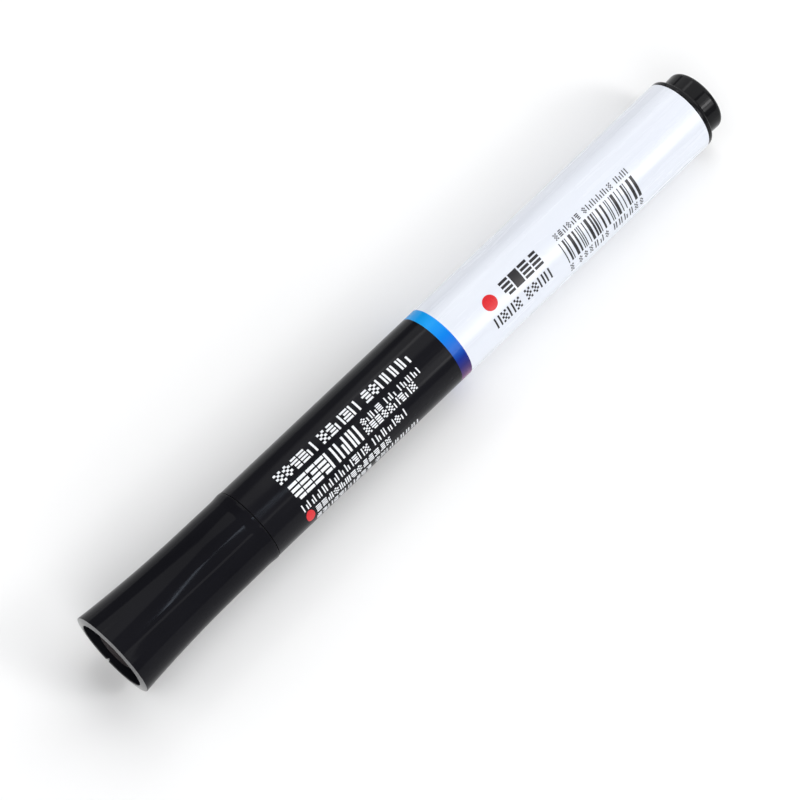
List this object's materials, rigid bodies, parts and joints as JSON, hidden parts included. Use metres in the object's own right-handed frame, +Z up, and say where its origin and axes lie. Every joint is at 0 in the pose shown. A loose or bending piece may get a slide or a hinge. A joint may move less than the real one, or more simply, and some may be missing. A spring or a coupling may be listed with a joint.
{
  "type": "whiteboard marker",
  "caption": "Capped whiteboard marker with a bullet nib: a slim white barrel with a black printed front zone, a flared black pull-off cap and a black tail plug.",
  "frame": {"origin": "centre of the bounding box's bottom, under the marker's middle on the surface it lies on", "axes": "+X along the marker from the cap's rim to the tail plug's end, +Z up; the long axis is 8.15 mm above z = 0"},
  "size_m": [0.1428, 0.0164, 0.0163],
  "materials": {
    "cap_black": "glossy moulded black polypropylene",
    "inner_cap_black": "satin moulded black polypropylene",
    "nib_fibre": "matt bonded fibre soaked with black ink",
    "holder_white": "satin moulded white polypropylene",
    "barrel_white": "glossy moulded white polypropylene",
    "film_print": "satin black print with a blue band on a bluish white film",
    "core_fibre": "matt fibre rod soaked with black ink",
    "wrap_clear": "thin clear plastic film",
    "plug_black": "glossy moulded black polypropylene"
  },
  "bodies": {
    "barrel_assembly": {"barrel": "barrel_white", "printed_film": "film_print", "nib_holder": "holder_white", "nib": "nib_fibre", "ink_core": "core_fibre", "core_wrap": "wrap_clear", "tail_plug": "plug_black"},
    "cap": {"cap_shell": "cap_black", "inner_cap": "inner_cap_black"}
  },
  "joints": [
    {"name": "cap_pull", "type": "slide", "parent": "barrel_assembly", "child": "cap", "axis": [-1, 0, 0], "range_m": [0, 0.04]}
  ]
}
